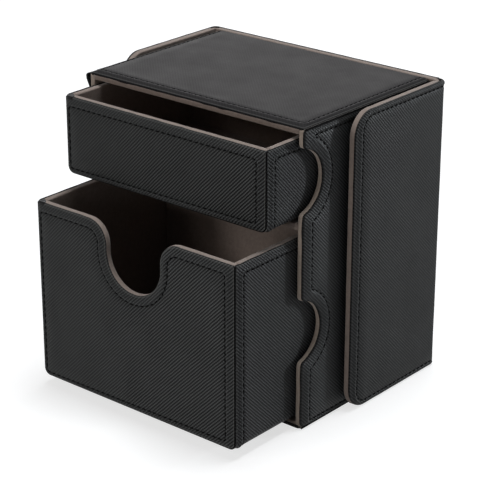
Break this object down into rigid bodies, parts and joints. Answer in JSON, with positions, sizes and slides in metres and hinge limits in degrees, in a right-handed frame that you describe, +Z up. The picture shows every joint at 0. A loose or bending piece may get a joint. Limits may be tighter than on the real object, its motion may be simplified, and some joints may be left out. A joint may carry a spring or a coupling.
{
  "type": "card storage box",
  "caption": "Upright leather-look card box: case with a shallow dice drawer over a deep card drawer, and a removable wrap cover with hinged flaps kept on its back.",
  "frame": {"origin": "centre of the case's bottom face", "axes": "+X to the right of someone facing the drawers, +Y from the drawers' fronts to the back, +Z up"},
  "size_m": [0.1168, 0.114, 0.1199],
  "materials": {
    "black_skin": "embossed diagonal grain, semi-matt",
    "grey_board": "raw grey board",
    "taupe_lining": "short-nap microfibre",
    "magnet": "nickel plated"
  },
  "bodies": {
    "case": {"case_top_skin": "black_skin", "case_top_board": "grey_board", "case_top_lining": "taupe_lining", "case_bottom_skin": "black_skin", "case_bottom_board": "grey_board", "case_bottom_lining": "taupe_lining", "case_left_skin": "black_skin", "case_left_board": "grey_board", "case_left_lining": "taupe_lining", "case_right_skin": "black_skin", "case_right_board": "grey_board", "case_right_lining": "taupe_lining", "case_back_skin": "black_skin", "case_back_board": "grey_board", "case_back_lining": "taupe_lining", "shelf_board": "grey_board", "shelf_lining": "taupe_lining", "case_left_magnets": "magnet", "case_right_magnets": "magnet"},
    "cover": {"cover_back_skin": "black_skin", "cover_back_board": "grey_board", "cover_back_lining": "taupe_lining", "cover_left_fold": "black_skin", "cover_right_fold": "black_skin"},
    "upper_drawer": {"upper_drawer_front_skin": "black_skin", "upper_drawer_back_skin": "black_skin", "upper_drawer_wrap_skin": "black_skin", "upper_drawer_floor_board": "grey_board", "upper_drawer_front_board": "grey_board", "upper_drawer_back_board": "grey_board", "upper_drawer_left_board": "grey_board", "upper_drawer_right_board": "grey_board", "upper_drawer_lining": "taupe_lining"},
    "lower_drawer": {"lower_drawer_front_skin": "black_skin", "lower_drawer_back_skin": "black_skin", "lower_drawer_wrap_skin": "black_skin", "lower_drawer_floor_board": "grey_board", "lower_drawer_front_board": "grey_board", "lower_drawer_back_board": "grey_board", "lower_drawer_left_board": "grey_board", "lower_drawer_right_board": "grey_board", "lower_drawer_lining": "taupe_lining"},
    "left_flap": {"left_flap_skin": "black_skin", "left_flap_board": "grey_board", "left_flap_lining": "taupe_lining", "left_flap_magnets": "magnet"},
    "right_flap": {"right_flap_skin": "black_skin", "right_flap_board": "grey_board", "right_flap_lining": "taupe_lining", "right_flap_magnets": "magnet"}
  },
  "joints": [
    {"name": "upper_drawer_slide", "type": "slide", "parent": "case", "child": "upper_drawer", "axis": [0, -1, 0], "range_m": [-0.017, 0.0479]},
    {"name": "lower_drawer_slide", "type": "slide", "parent": "case", "child": "lower_drawer", "axis": [0, -1, 0], "range_m": [-0.034, 0.0309]},
    {"name": "cover_slide", "type": "slide", "parent": "case", "child": "cover", "axis": [0, 1, 0], "range_m": [0, 0.06]},
    {"name": "left_flap_hinge", "type": "hinge", "parent": "cover", "child": "left_flap", "pos_m": [-0.05805, 0.03855, 0.06], "axis": [0, 0, -1], "range_deg": [0, 90]},
    {"name": "right_flap_hinge", "type": "hinge", "parent": "cover", "child": "right_flap", "pos_m": [0.05805, 0.03855, 0.06], "axis": [0, 0, 1], "range_deg": [0, 90]}
  ]
}
